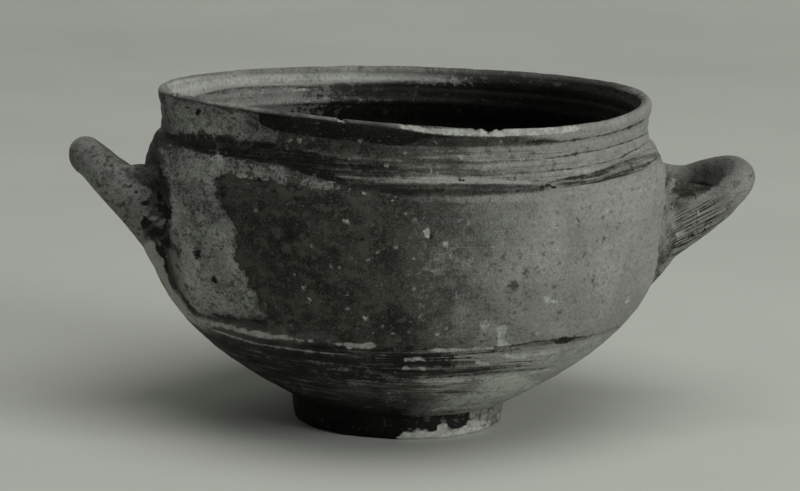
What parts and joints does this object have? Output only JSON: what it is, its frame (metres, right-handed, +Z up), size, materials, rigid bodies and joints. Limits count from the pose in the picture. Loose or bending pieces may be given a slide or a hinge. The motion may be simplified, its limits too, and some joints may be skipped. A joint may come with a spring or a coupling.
{
  "type": "two-handled bowl",
  "caption": "Wheel-thrown deep clay bowl with a short flaring neck, two upturned loop handles and a low ring foot, for holding or drinking liquids",
  "frame": {"origin": "on the bowl's axis, in the plane that the ring foot stands on", "axes": "+Z up along the bowl's axis, +X towards the longer handle, -Y towards the side seen in the picture"},
  "size_m": [0.1807, 0.1382, 0.0874],
  "materials": {
    "painted_clay": "worn dark paint on fired clay, dull satin",
    "handle_clay": "worn fired clay, matt"
  },
  "bodies": {
    "root": {"bowl_body": "painted_clay", "foot_ring": "painted_clay", "handle_left": "handle_clay", "handle_right": "handle_clay", "root_pad_left_front": "handle_clay", "root_pad_left_back": "handle_clay", "root_pad_right_front": "handle_clay", "root_pad_right_back": "handle_clay"}
  },
  "joints": []
}
